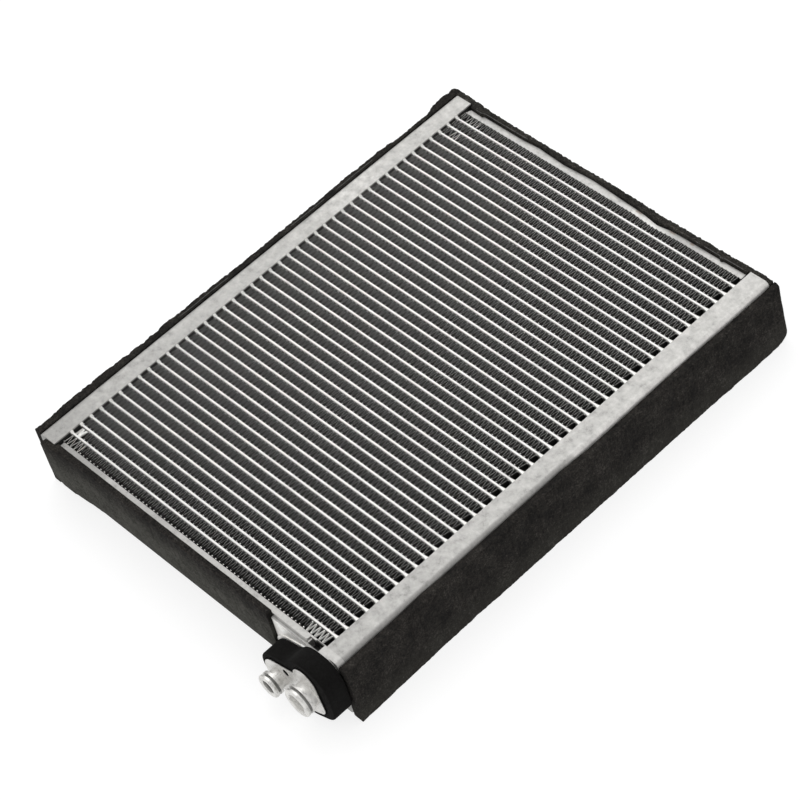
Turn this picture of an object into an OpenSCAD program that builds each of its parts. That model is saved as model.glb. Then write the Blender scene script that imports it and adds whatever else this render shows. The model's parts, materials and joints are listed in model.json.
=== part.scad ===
// Evaporator core with two rows of flat tubes between two header tanks.
// X runs along the tubes, Y along the header tanks away from the port block,
// Z up through the core. The core lies on its rear face.

/* [Tubes] */
// Number of flat tubes in each row
tube_count = 43; // [11:2:61]
// Distance from one flat tube to the next
tube_pitch = 6.6; // [5.4:0.1:9]
// Thickness of a flat tube
tube_t = 1.7; // [1.2:0.1:2.4]
// Length of tube that shows between the header tanks
tube_span = 204.6; // [160:0.2:320]
// Length of tube inside each header tank
tube_entry = 3.5; // [2.5:0.1:5]
// Wall of a flat tube
tube_wall = 0.35; // [0.2:0.05:0.45]
// Depth of the core, in the direction of the air
core_d = 38; // [34:0.5:50]
// Gap between the front and rear rows of tubes
row_gap = 3; // [2:0.5:6]

/* [Fins] */
// Thickness of the corrugated fin sheet
fin_t = 0.25; // [0.1:0.05:0.5]
// Number of legs in each fin strip
fin_legs = 23; // [11:2:61]
// Distance from the fin strips to the left header tank
fin_left_gap = 1.4; // [0.4:0.2:8]
// Distance from the fin strips to the header tank with the ports
fin_right_gap = 2.8; // [0.4:0.2:8]
// Distance from the fin edges back to the tube edges
fin_inset = 0.4; // [0.1:0.1:1.5]
// Extra height of the fin strips beside the side plates
end_fin_extra = 0.6; // [0:0.1:2]

/* [Header tanks] */
// Width of a header tank along the tubes
header_w = 12; // [10:0.5:18]
// Distance from the last fin strip to the end of a header tank
header_reach = 5.05; // [5:0.05:12]
// Wall of the tank cover
tank_wall = 1.1; // [0.8:0.1:1.8]
// Gap between the tubes' edges and the tank cover's wall
tank_lip = 0.1; // [0.05:0.05:1]
// Outer corner radius of the tank cover
tank_corner = 2.6; // [2:0.1:3.5]
// Thickness of the web between the front and rear chambers
web_t = 1.6; // [1.2:0.1:3]
// Depth of the valley outside the web
valley_d = 1; // [0.4:0.1:1.6]
// Thickness of the tube plate
plate_t = 1.5; // [1:0.1:2]
// Thickness of a tank end cap
cap_t = 1.5; // [1:0.1:3]
// Depth of the cap's plugs inside the chambers
cap_plug = 2; // [1:0.5:3]
// Thickness of a chamber separator
separator_t = 1.5; // [1:0.1:2.5]
// Length of a window between the chambers
window_l = 22; // [10:1:26]
// Number of windows between the chambers
window_count = 3; // [1:1:4]
// Width of the web left on each side of a window
window_rim = 1.5; // [0.5:0.1:2]

/* [Side plates] */
// Thickness of the side plates
side_t = 1; // [0.6:0.1:1.6]
// Distance from the core's faces back to the side plates' flanges
side_inset = 1.3; // [0:0.1:3]
// Width of the side plate's flanges past its web
flange_w = 2.4; // [2:0.1:5]
// Radius of the flanges' outer corners
flange_round = 1.2; // [0.5:0.1:1.8]
// Distance from the near flange's end to the header tank with the ports
flange_cut = 12.5; // [8:0.5:20]
// Gap between a flange's end and the header tank
flange_gap = 1.2; // [0.4:0.1:3]

/* [Refrigerant passage] */
// Length of the passage plates along the tubes
passage_l = 48.6; // [46:0.2:70]
// Sheet thickness of the passage plates
passage_t = 1; // [0.6:0.1:1.5]
// Inner depth of the passage pan
passage_d = 2.2; // [2:0.1:5]
// Width of the metal round the two channels in the pan
channel_rim = 2; // [1.5:0.1:3]
// Width of the pan's rib between the two channels
rib_w = 1.8; // [1:0.1:3]
// Distance from the channels to the ports they serve
port_rim = 1; // [0.5:0.1:2]
// Depth of the gap over the pan between the near flange and the header tank
notch_d = 7; // [3:0.5:9]
// Height of the raised seat under the port block
seat_h = 0.6; // [0.3:0.1:1.5]
// Width of the raised seat around the port block
seat_rim = 4.6; // [2:0.1:6]

/* [Port block] */
// Length of the port block from its seat to its face
block_l = 12.4; // [10:0.2:25]
// Distance from the suction port to the header tank's outer side
suction_in = 11.8; // [9:0.1:15]
// Height of the suction port over the floor
suction_z = 22.6; // [21:0.1:25]
// Distance between the ports along the tubes
port_step_x = 23.4; // [20:0.1:27]
// Height of the suction port over the liquid port
port_step_z = 7.8; // [5:0.1:10]
// Metal around the liquid spigot
block_rim = 3.85; // [2:0.05:5]
// Radius of the block at its waist
waist_r = 9; // [8:0.1:10]
// Distance from the suction port back to the waist, along the tubes
waist_x = 8.1; // [6:0.1:10]
// Height of the suction port over the waist
waist_z = 1.1; // [0:0.1:3]
// Radius of the block over the suction port
crown_r = 8; // [7:0.1:9]
// Distance from the suction port back to that round, along the tubes
crown_x = 0.7; // [0:0.1:2]
// Height of that round over the suction port
crown_z = 7.8; // [6:0.1:8]
// Radius of the block's corner beside the header tank
corner_r = 6; // [4:0.1:8]
// Distance from the suction port on to that corner, along the tubes
corner_x = 3.3; // [1:0.1:4]
// Height of the suction port over that corner
corner_z = 7; // [5:0.1:8]
// Radius of the block's foot between the ports
foot_r = 8; // [6:0.1:9]
// Distance from the suction port back to the foot, along the tubes
foot_x = 6.5; // [5:0.1:8]
// Height of the suction port over the foot
foot_z = 10; // [8:0.1:10.5]
// Diameter of the screw hole for the expansion valve
screw_d = 4.2; // [3:0.1:5]
// Distance from the liquid port to the screw hole, along the tubes
screw_x = 7.2; // [6.8:0.1:9]
// Height of the screw hole over the liquid port
screw_z = 9.4; // [9:0.1:10]
// Depth of the screw hole
screw_depth = 9; // [5:0.5:9.5]

/* [Spigots] */
// Outer diameter of the liquid spigot
liquid_od = 13.5; // [12:0.1:15]
// Bore of the liquid spigot
liquid_bore = 7.8; // [4:0.1:8]
// Outer diameter of the suction spigot
suction_od = 16.8; // [15:0.1:18]
// Bore of the suction spigot
suction_bore = 10.6; // [8:0.1:11.4]
// Length of the spigots past the block's face
spigot_l = 8.2; // [7:0.1:14]
// Length of the nose in front of the ring groove
nose_l = 1.7; // [1:0.1:2.5]
// Width of the ring groove
groove_w = 1.4; // [1:0.1:2.2]
// Depth of the ring groove
groove_d = 1.4; // [0.8:0.1:1.6]
// Length of the collar behind the ring groove
collar_l = 1.6; // [1:0.1:2.2]
// Bevel at the spigot's nose and mouth
nose_bevel = 0.5; // [0.2:0.1:0.8]

/* [Foam] */
// Thickness of the foam strips on the header tanks
foam_t = 5.2; // [2:0.1:8]
// Thickness of the foam strips on the side plates
edge_foam_t = 3.7; // [2:0.1:6]
// Distance from the right header tank's top down to its foam strip's top
foam_drop = 1.6; // [0:0.1:4]
// Radius of the outer corners where the header strips meet the far strip
foam_round = 3; // [0.5:0.1:6]
// Radius of the header strips' lower far corners
foam_corner = 8; // [1:0.5:20]
// Height of the header tanks over the floor
foam_under = 0.8; // [0.4:0.1:3]
// Height at which the near strip's lower face slopes in
foam_slope_z = 15; // [8:0.5:25]
// Width that the near strip loses at its lower edge
foam_slope = 3; // [0.5:0.1:3.4]
// Overlap of the near strip on the header tank's end
foam_lap = 8.5; // [4:0.5:11]
// Length over which the near strip swells towards that overlap
foam_swell = 25; // [5:1:60]
// Gap between the near strip and the passage plates
foam_end_gap = 1; // [0.3:0.1:5]
// Thickness of the foam around the port block
gasket_t = 3.6; // [2:0.1:3.6]
// Extra thickness of that foam at the header's corner
gasket_bulge = 2.8; // [0:0.1:4]
// Width of the foam around the port block
gasket_w = 11.4; // [6:0.2:12.2]
// Gap between foam and metal
foam_gap = 0.1; // [0.05:0.05:0.3]

/* [Fits] */
// Clearance of brazed joints
braze_gap = 0.05; // [0.02:0.01:0.1]

/* [Hidden] */

// Smoothness of arcs, and of arcs inside a hull
arc_fn = 64;
hull_fn = 32;

// Heights of the core and of the header tanks
header_over = tank_wall + tank_lip;
header_d = core_d + 2 * header_over;
header_z = foam_under;
header_top = header_z + header_d;
mid_z = header_z + header_d / 2;
core_z = header_z + header_over;
core_top = core_z + core_d;

// Tubes and fins
tube_d = (core_d - row_gap) / 2;
front_z = core_top - tube_d / 2;
rear_z = core_z + tube_d / 2;
fin_h = tube_pitch - tube_t;
fin_l = tube_span - fin_left_gap - fin_right_gap;
fin_groups = 4;

// Inner and outer sides of the header tanks
tank_x = tube_span / 2;
tank_out = tank_x + header_w;
chamber_r = tank_corner - tank_wall;

// Faces outward from the core's middle in Y
core_half = (tube_count + 1) * tube_pitch / 2 - tube_t / 2 + end_fin_extra;
web_y = core_half + side_t;
flange_y = web_y + flange_w;
header_half = core_half + header_reach;
pan_y = web_y + passage_t + passage_d;
cover_y = pan_y + passage_t;
seat_y = cover_y + seat_h;
face_y = seat_y + block_l;
tip_y = face_y + spigot_l;

// Ports, in X and Z
suction = [tank_out - suction_in, suction_z];
liquid = suction - [port_step_x, port_step_z];
screw = liquid + [screw_x, screw_z];

// Lower and upper faces of the side plates
side_low = core_z + side_inset;
side_high = core_top - side_inset;

// Passage plates, and the heights of the notch and the channels between them
passage_x = tank_out - passage_l;
head_x = tank_x - flange_gap;
notch_x = tank_x - flange_cut + flange_gap;
notch_z = core_top - notch_d;
channel_low = side_low + side_t + channel_rim;
channel_high = side_high - side_t - channel_rim;
channel_split = suction[1] - suction_bore / 2 - port_rim - rib_w;

// The far strip's outer face, and the shift that centres the part in Y
foam_y = header_half + foam_gap + edge_foam_t;
shift_y = (tip_y - foam_y) / 2;

// Small overlap that keeps cuts clean
cut = 1;

// Colours
sheet_colour = [0.78, 0.78, 0.77];
tube_colour = [0.9, 0.9, 0.89];
fin_colour = [0.4, 0.4, 0.39];
foam_colour = [0.09, 0.09, 0.09];

// Profile in X and Z, run along Y from y0 to y1
module along_y(y0, y1) {
    translate([0, y1, 0]) rotate([90, 0, 0]) linear_extrude(y1 - y0) children();
}

// Profile in Y and Z, run along X from x0 to x1
module along_x(x0, x1) {
    translate([x0, 0, 0]) rotate([90, 0, 90]) linear_extrude(x1 - x0) children();
}

// Round bar along Y at a point in X and Z
module bar(at, d, y0, y1) {
    along_y(y0, y1) translate(at) circle(d = d, $fn = arc_fn);
}

module box_between(low, high) {
    translate([low[0], low[1]]) square([high[0] - low[0], high[1] - low[1]]);
}

// Rectangle whose two corners on the +X side are round
module half_round_box(low, high, r) {
    box_between(low, [high[0] - r, high[1]]);
    box_between([low[0], low[1] + r], [high[0], high[1] - r]);
    for (z = [low[1] + r, high[1] - r])
        translate([high[0] - r, z]) circle(r = r, $fn = arc_fn);
}

// Places the finished piece in the part's own frame
module place() {
    translate([0, shift_y, 0]) children();
}

module on_side(left) {
    mirror([left ? 1 : 0, 0, 0]) children();
}

// Outline of a flat tube in Y and Z, with a nose on each edge
module tube_outline(grow = 0) {
    a = tube_t / 2 + grow;
    b = tube_d / 2 + grow;
    n = tube_t / 2;
    polygon([[-a, n - b], [0, -b], [a, n - b], [a, b - n], [0, b], [-a, b - n]]);
}

function tube_y(i) = (i - (tube_count - 1) / 2) * tube_pitch;

// Place of a fin strip, and its extra height if it lies beside a side plate
function fin_extra(j) = j == 0 || j == tube_count ? end_fin_extra : 0;
function fin_y(j) = (j - tube_count / 2) * tube_pitch + sign(j - tube_count / 2) * fin_extra(j) / 2;

// Row of hollow flat tubes
module tube_row(z) {
    end = tank_x + tube_entry;
    channel = [tube_t - 2 * tube_wall, tube_d - tube_t];
    for (i = [0 : tube_count - 1])
        along_x(-end, end) translate([tube_y(i), z]) difference() {
            tube_outline();
            square(channel, center = true);
        }
}

// Corrugated strip: a folded ribbon whose crests touch the tubes on both sides
module fin_strip(j) {
    h = fin_h + fin_extra(j);
    start = fin_left_gap - tank_x;
    step = fin_l / fin_legs;
    rise = fin_t * sqrt(1 + pow(h / step, 2)) / 2;
    crest = h / 2 - rise;
    fold = [for (k = [0 : fin_legs]) [start + k * step, k % 2 == 0 ? -crest : crest]];
    upper = [for (p = fold) p + [0, rise]];
    lower = [for (k = [fin_legs : -1 : 0]) fold[k] - [0, rise]];
    translate([0, fin_y(j), core_z + fin_inset])
        linear_extrude(core_d - 2 * fin_inset) polygon(concat(upper, lower));
}

module fin_group(k) {
    first = floor(k * (tube_count + 1) / fin_groups);
    last = floor((k + 1) * (tube_count + 1) / fin_groups) - 1;
    for (j = [first : last]) fin_strip(j);
}

// Tube plate with one slot for each tube
module tube_plate(near_end, far_end) {
    along_x(tank_x, tank_x + plate_t) difference() {
        box_between([near_end, header_z], [far_end, header_top]);
        for (z = [front_z, rear_z], i = [0 : tube_count - 1])
            translate([tube_y(i), z]) tube_outline(braze_gap);
    }
}

// Outline of a chamber, the front one above the web or the rear one below it
module chamber(front, gap = 0, open = 0) {
    half_round_box(
        [tank_x + plate_t + gap - open, (front ? mid_z + web_t / 2 : header_z + tank_wall) + gap],
        [tank_out - tank_wall - gap, (front ? header_top - tank_wall : mid_z - web_t / 2) - gap],
        chamber_r
    );
}

// Outline of a header tank from x0 outward
module tank_outline(x0) {
    half_round_box([x0, header_z], [tank_out, header_top], tank_corner);
}

// Window through the web, in the half of the tank away from the ports
module web_window(k) {
    low_x = tank_x + plate_t + window_rim;
    high_x = tank_out - tank_wall - valley_d - window_rim;
    translate([low_x, k * header_half / (window_count + 1), mid_z - web_t])
        cube([high_x - low_x, window_l, 2 * web_t]);
}

// Tank cover seated on the tube plate: two chambers with a web between them
module tank_cover(near_end, far_end, windows) {
    difference() {
        along_y(near_end, far_end) difference() {
            tank_outline(tank_x + plate_t);
            chamber(true, 0, cut);
            chamber(false, 0, cut);
            translate([tank_out, mid_z]) rotate(45) square(valley_d * sqrt(2), center = true);
        }
        if (windows) for (k = [1 : window_count]) web_window(k);
    }
}

// End cap with a plug in each chamber; its outer face is at the header's end
module end_cap() {
    along_y(header_half - cap_t, header_half) tank_outline(tank_x);
    for (front = [true, false])
        along_y(header_half - cap_t - cap_plug, header_half - cap_t) chamber(front, braze_gap);
}

// Separator halfway along a chamber, between two tubes
module separator(front) {
    y = tube_pitch / 2;
    along_y(y - separator_t / 2, y + separator_t / 2) chamber(front, braze_gap);
}

// Flange of a side plate in X and Y, with a round outer corner at each end
module flange(low, high) {
    r = flange_round;
    translate([low, web_y - side_t / 2]) square([high - low, flange_w + side_t / 2 - r]);
    translate([low + r, web_y]) square([high - low - 2 * r, flange_w]);
    for (x = [low + r, high - r]) translate([x, flange_y - r]) circle(r = r, $fn = arc_fn);
}

// Side plate on the far side: a web on the outer fins with a flange at each face
module side_plate(flange_low, flange_high) {
    end = tank_x - flange_gap;
    translate([-end, core_half, side_low]) cube([2 * end, side_t, side_high - side_low]);
    for (z = [side_low, side_high - side_t])
        translate([0, 0, z]) linear_extrude(side_t) flange(flange_low, flange_high);
}

// Outline of the passage plates: low between the flanges, full height at the tank
module passage_outline() {
    low = side_low + side_t + braze_gap;
    high = side_high - side_t - braze_gap;
    box_between([passage_x, low], [tank_out, high]);
    box_between([head_x, header_z], [tank_out - tank_corner, header_top]);
    half_round_box([head_x, header_z], [tank_out, header_top], tank_corner);
}

// Channel from a port to its chamber, in X and Z; the front one rises at the tank
module channel(port, bore, front) {
    r = bore / 2 + port_rim;
    z0 = front ? channel_split + 2 * rib_w : channel_low;
    z1 = front ? notch_z - channel_rim : channel_split;
    half_round_box([port[0] - r, z0], [tank_out - channel_rim, z1], chamber_r);
    if (front)
        half_round_box([head_x + channel_rim, z0], [tank_out - channel_rim, channel_high], chamber_r);
    translate(port) circle(r = r, $fn = arc_fn);
}

// Window from a channel into the tank chamber behind it
module chamber_window(front) {
    z0 = front ? mid_z + web_t / 2 + channel_rim : channel_low;
    z1 = front ? channel_high : channel_split - port_rim;
    box_between([tank_x + plate_t + port_rim, z0], [tank_out - tank_wall - channel_rim, z1]);
}

// Pressed pan that carries the two channels and closes the tank's near end; its
// upper edge dips between the near flange's end and the header tank
module passage_pan() {
    difference() {
        along_y(-pan_y, -web_y) difference() {
            passage_outline();
            box_between([notch_x, notch_z], [head_x, core_top]);
        }
        along_y(-pan_y - cut, -web_y - passage_t) {
            channel(suction, suction_bore, true);
            channel(liquid, liquid_bore, false);
        }
        along_y(-pan_y - cut, -web_y + cut) {
            chamber_window(true);
            chamber_window(false);
        }
    }
}

// Lobes of the block's outline around the ports, each with its centre and radius
small_lobe = [liquid[0], liquid[1], liquid_od / 2 + block_rim];
waist_lobe = [suction[0] - waist_x, suction[1] - waist_z, waist_r];
crown_lobe = [suction[0] - crown_x, suction[1] + crown_z, crown_r];
corner_lobe = [suction[0] + corner_x, suction[1] - corner_z, corner_r];
foot_lobe = [suction[0] - foot_x, suction[1] - foot_z, foot_r];

module lobe(c, grow) {
    translate([c[0], c[1]]) circle(r = c[2] + grow, $fn = hull_fn);
}

// Block outline: a small lobe for the liquid port and a large one for suction
module block_outline(grow = 0, bulge = 0) {
    hull() {
        lobe(small_lobe, grow);
        lobe(waist_lobe, grow);
    }
    hull() {
        lobe(crown_lobe, grow);
        lobe(crown_lobe + [2 * bulge, bulge / 2, 0], grow - bulge / 2);
        lobe(corner_lobe + [bulge, bulge / 3, 0], grow);
        lobe(foot_lobe, grow);
    }
}

// Cover of the passage pan, with a raised seat for the block and two port holes
module passage_cover() {
    difference() {
        union() {
            along_y(-cover_y, -pan_y) passage_outline();
            along_y(-seat_y, -cover_y) intersection() {
                block_outline(seat_rim);
                passage_outline();
            }
        }
        bar(suction, suction_bore, -seat_y - cut, -pan_y + cut);
        bar(liquid, liquid_bore, -seat_y - cut, -pan_y + cut);
    }
}

// Spigot turned on the block: neck, collar, ring groove and bevelled nose
module spigot(at, od) {
    r = od / 2;
    neck_r = r - groove_d;
    neck_l = spigot_l - nose_l - groove_w - collar_l;
    groove_s = neck_l + collar_l;
    translate([at[0], -face_y, at[1]]) rotate([90, 0, 0]) rotate_extrude($fn = arc_fn)
        polygon([
            [0, -block_l / 2], [neck_r, -block_l / 2], [neck_r, neck_l], [r, neck_l],
            [r, groove_s], [neck_r, groove_s], [neck_r, groove_s + groove_w],
            [r, groove_s + groove_w], [r, spigot_l - nose_bevel], [r - nose_bevel, spigot_l],
            [0, spigot_l]
        ]);
}

// Bevel at the mouth of a bore
module mouth(at, d) {
    translate([at[0], -tip_y, at[1]]) rotate([-90, 0, 0])
        cylinder(d1 = d + 2 * nose_bevel, d2 = d, h = nose_bevel, $fn = arc_fn);
}

// Machined block that carries both spigots and their bores
module port_block() {
    difference() {
        union() {
            along_y(-face_y, -seat_y) block_outline();
            spigot(suction, suction_od);
            spigot(liquid, liquid_od);
        }
        bar(suction, suction_bore, -tip_y - cut, -seat_y + cut);
        bar(liquid, liquid_bore, -tip_y - cut, -seat_y + cut);
        mouth(suction, suction_bore);
        mouth(liquid, liquid_bore);
        bar(screw, screw_d, -face_y - cut, -face_y + screw_depth);
    }
}

// Foam band round the block, thicker at the header's corner
module block_gasket() {
    back = seat_y + foam_gap;
    along_y(-back - gasket_w, -back) difference() {
        block_outline(gasket_t, gasket_bulge);
        block_outline(foam_gap);
    }
}

// Foam strip on a header tank's outer side, from the floor up; at its far end the
// outer corner and the lower corner are round
module header_foam(near_end, top) {
    inner = tank_out + foam_gap;
    outer = inner + foam_t;
    r = min(foam_round, foam_t - foam_gap);
    intersection() {
        linear_extrude(top) {
            box_between([inner, near_end], [outer - r, foam_y]);
            box_between([inner, near_end], [outer, foam_y - r]);
            translate([outer - r, foam_y - r]) circle(r = r, $fn = arc_fn);
        }
        along_x(inner, outer) {
            box_between([near_end, foam_corner], [foam_y, top]);
            box_between([near_end, 0], [foam_y - foam_corner, top]);
            translate([foam_y - foam_corner, foam_corner]) circle(r = foam_corner, $fn = arc_fn);
        }
    }
}

// Foam strip on the far side plate that laps over both tank ends
module far_foam() {
    inner = flange_y + foam_gap;
    lap = header_half + foam_gap;
    translate([0, 0, header_z]) linear_extrude(header_d) polygon([
        [-tank_out, lap], [flange_gap - tank_x, lap], [flange_gap - tank_x, inner],
        [tank_x - flange_gap, inner], [tank_x - flange_gap, lap], [tank_out, lap],
        [tank_out, foam_y], [-tank_out, foam_y]
    ]);
}

// Foam strip on the near side plate: it laps the left tank's end, ends at the
// passage plates, and its lower face slopes in towards the side plate
module near_foam() {
    inner = flange_y + foam_gap;
    outer = inner + edge_foam_t;
    lap = header_half + foam_gap;
    start = foam_lap + tank_x;
    end = passage_x - foam_end_gap;
    intersection() {
        translate([0, 0, header_z]) linear_extrude(header_d) polygon([
            [-start, -lap], [flange_gap - tank_x, -lap], [flange_gap - tank_x, -inner],
            [end, -inner], [end, -outer], [foam_swell - tank_x, -outer],
            [-tank_x, -lap - edge_foam_t], [-start, -lap - edge_foam_t]
        ]);
        along_x(-start - cut, end + cut) polygon([
            [cut - inner, 0], [foam_slope - outer, header_z], [-outer, foam_slope_z],
            [-lap - edge_foam_t, foam_slope_z + foam_slope], [-lap - edge_foam_t - cut, header_top],
            [cut - inner, header_top]
        ]);
    }
}

color(sheet_colour) place() on_side(true)  // left_tube_plate
        tube_plate(cap_t - header_half, header_half - cap_t);
color(sheet_colour) place() on_side(false)  // right_tube_plate
        tube_plate(-web_y, header_half - cap_t);
color(sheet_colour) place() on_side(true)  // left_tank_cover
        tank_cover(cap_t - header_half, header_half - cap_t, false);
color(sheet_colour) place() on_side(false)  // right_tank_cover
        tank_cover(-web_y, header_half - cap_t, true);
color(sheet_colour) place() on_side(true) mirror([0, 1, 0]) end_cap();  // left_near_cap
color(sheet_colour) place() on_side(true) end_cap();  // left_far_cap
color(sheet_colour) place() on_side(false) end_cap();  // right_far_cap
color(sheet_colour) place() separator(true);  // front_separator
color(sheet_colour) place() separator(false);  // rear_separator
color(tube_colour) place() tube_row(front_z);  // front_tubes
color(tube_colour) place() tube_row(rear_z);  // rear_tubes
color(fin_colour) place() fin_group(0);  // fins_near
color(fin_colour) place() fin_group(1);  // fins_mid_near
color(fin_colour) place() fin_group(2);  // fins_mid_far
color(fin_colour) place() fin_group(3);  // fins_far
color(tube_colour) place() mirror([0, 1, 0])  // near_side_plate
        side_plate(flange_gap - tank_x, tank_x - flange_cut);
color(tube_colour) place() side_plate(flange_gap - tank_x, tank_x - flange_gap);  // far_side_plate
color(sheet_colour) place() passage_pan();
color(sheet_colour) place() passage_cover();
color(sheet_colour) place() port_block();
color(foam_colour) place() block_gasket();
color(foam_colour) place() on_side(true)  // left_foam
        header_foam(foam_gap - header_half, header_top);
color(foam_colour) place() on_side(false)  // right_foam
        header_foam(-cover_y, header_top - foam_drop);
color(foam_colour) place() near_foam();
color(foam_colour) place() far_foam();
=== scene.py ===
"""Looks of an evaporator core that lies face up on a white floor.

X runs along the tubes, Y along the header tanks away from the port block, Z up.
Lengths are in metres. Those given in millimetres are multiplied by MM where they are used.
"""

import json
import math
import random

import bpy
from mathutils import Matrix, Vector, noise
from mathutils.geometry import convex_hull_2d


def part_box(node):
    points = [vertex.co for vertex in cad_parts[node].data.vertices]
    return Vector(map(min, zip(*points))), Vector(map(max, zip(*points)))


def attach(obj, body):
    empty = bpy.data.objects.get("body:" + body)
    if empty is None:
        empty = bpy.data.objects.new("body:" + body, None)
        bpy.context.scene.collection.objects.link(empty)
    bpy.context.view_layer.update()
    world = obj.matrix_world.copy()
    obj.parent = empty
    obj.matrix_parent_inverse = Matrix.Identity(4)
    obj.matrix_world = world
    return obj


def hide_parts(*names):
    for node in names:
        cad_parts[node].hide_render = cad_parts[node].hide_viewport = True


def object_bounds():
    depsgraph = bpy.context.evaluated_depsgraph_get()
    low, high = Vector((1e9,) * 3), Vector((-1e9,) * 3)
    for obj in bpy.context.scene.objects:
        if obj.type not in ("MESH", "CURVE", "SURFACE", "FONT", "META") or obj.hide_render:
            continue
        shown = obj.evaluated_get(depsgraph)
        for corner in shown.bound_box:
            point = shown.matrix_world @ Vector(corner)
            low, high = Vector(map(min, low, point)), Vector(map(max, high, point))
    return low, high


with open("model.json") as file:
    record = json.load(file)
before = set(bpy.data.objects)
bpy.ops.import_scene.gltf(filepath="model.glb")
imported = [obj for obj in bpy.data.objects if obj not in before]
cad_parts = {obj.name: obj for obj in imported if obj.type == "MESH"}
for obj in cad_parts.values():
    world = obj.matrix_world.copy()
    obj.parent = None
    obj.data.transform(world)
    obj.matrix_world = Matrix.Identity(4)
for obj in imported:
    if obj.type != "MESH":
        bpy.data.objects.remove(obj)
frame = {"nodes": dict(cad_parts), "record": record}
cad_low, cad_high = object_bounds()

MM = 0.001
MIDDLE_Y = (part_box("front_tubes")[0].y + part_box("front_tubes")[1].y) / 2

# Camera, solved from the photograph's perspective
CAMERA_AT = (0.88415, -0.53679, 1.17961)
CAMERA_RIGHT = (0.67637, 0.71322, -0.18397)
CAMERA_UP = (-0.46950, 0.60991, 0.63842)
CAMERA_AHEAD = (-0.56754, 0.34543, -0.74738)
SENSOR_MM = 36
LENS_MM = 137.116

# Tubes and fins
TUBE_COUNT = 43
TUBE_THICKNESS = 1.7 * MM
TUBE_STATIONS = 20
NOSE_POINTS = 7
TUBE_DRIFT = 0.05 * MM
TUBE_LIFT = 0.06 * MM
FIN_SHEET = 0.13 * MM
FIN_PITCH = 1.42 * MM
FOLD_RADIUS = 0.42 * MM
BENT_RADIUS = 0.25 * MM
BENT_DEPTH = 0.9 * MM
FOLD_POINTS = 7
STRIPS_PER_GROUP = 11
BRAZE_FILL = 0.45
CREST_LIFT = 0.12 * MM

# How uneven the folds are, in millimetres: usually, and in the last strip beside the dent
SLACK, LOOSE_SLACK = 0.07, 0.3
LOOSE_FROM, LOOSE_TO = 26 * MM, 62 * MM

# Braze fillets at the tube plates: reach along the tube and added half width, in millimetres
LONG_FILLET = ((0.0, 0.95), (1.0, 0.55), (2.4, 0.22), (4.0, 0.02))
SHORT_FILLET = ((0.0, 0.30), (0.5, 0.15), (1.1, 0.02))
FILLET_RISE = 1.1

# Bent folds: strip number from the near side, from X to X, and lean, in millimetres
BENT = (
    (0, -101.5, -90.5, 0.5),
    (1, -101.5, -97.5, 1.5),
    (0, 85.0, 99.5, -0.3),
    (43, -97.0, -88.0, 0.6),
    (41, -97.5, -91.5, 0.4),
)

# Outlines along an edge, as places from the core's middle and offsets, in millimetres:
# how far the cut foam and its top stay back, how far its foot spreads out, how far the far
# plate's edge waves outwards, and how deep it is dented
LEFT_CUT = (
    (-150, 0.9), (-140, 1.3), (-130, 0.1), (-100, 0.3), (-80, 1.4), (-70, 1.7),
    (-60, 0.6), (-50, 1.4), (-40, 0.9), (-10, 1.9), (30, 1.7), (45, 1.9),
    (70, 1.2), (100, 1.9), (108, 3.3), (132, 2.7), (138, 0.3), (154, 0),
)
RIGHT_TOP = (
    (-150, 0.6), (-115, 0.6), (-95, -0.5), (-80, 0.4), (0, 0.5), (20, 1.8),
    (45, 1.6), (70, 1.0), (100, 1.1), (115, 1.7), (146, 1.6), (154, 0.9),
)
RIGHT_CUT = ((-150, 0.3), (0, 0.5), (154, 0.3))
RIGHT_FOOT = ((-150, 1.2), (-110, 0.2), (-90, -0.3), (0, 0.1), (100, 0.3), (125, 0.9), (154, 0.6))
LEVEL = ((-150, 0), (154, 0))
FAR_CUT = (
    (-114, 0), (-100, 0.5), (-88, 1.4), (-70, 1.7), (-20, 1.8), (0, 1.4), (25, 1.8),
    (40, 2.4), (60, 1.8), (90, 1.6), (100, 1.2), (108, 0.8), (114, 0.6),
)
FAR_WAVE = (
    (-101, -0.2), (-91.6, -0.6), (-91, 0.3), (-60, 0.4), (-50, 1.3), (-40, 0.7),
    (-30, 0.2), (-10, 1.4), (0, 1.0), (20, 0), (30, -0.3), (40, -1.3), (48, -0.2),
    (82.4, 0), (83, -0.9), (84, -0.9), (84.6, 0), (101, 0.2),
)
DENT = ((25, 0), (38, 0.9), (44, 0.7), (56, 0))
PLATE_SHEET = 1 * MM
PLATE_STATIONS = 300
FLANGE_ROUND = 1.2 * MM

# Braze seam along the passage pan
SEAM_END = 90.2 * MM
SEAM_LOW = 37.66 * MM
SEAM_TOP = 38.72 * MM
SEAM_STATIONS = 40

# Foam strips
HEADER_FOAM_STATIONS = 520
EDGE_FOAM_STATIONS = 400
FOAM_EDGE_ROUND = 0.5 * MM
FOAM_ROUND = 3 * MM
FOAM_CORNER = 8 * MM
NEAR_FOAM_ROUND = 6 * MM
FOOT_HEIGHT = 30 * MM
SLOPE_HEIGHT = 14 * MM
FAR_DROP, FAR_DROP_FROM, FAR_DROP_LENGTH = 1.0 * MM, 102 * MM, 9 * MM
LAP_FROM, LAP_LENGTH = -76 * MM, 26 * MM
NEAR_THICKNESS = 3.7 * MM
NEAR_SLOPE = 3.4 * MM

# Adhesive film on the foam: its section and the distance between stations, in millimetres
FILM_PROFILE = ((0, -0.6), (0.28, -0.6), (0.28, 0), (0, 0))
FILM_STEP = 1.5

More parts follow.
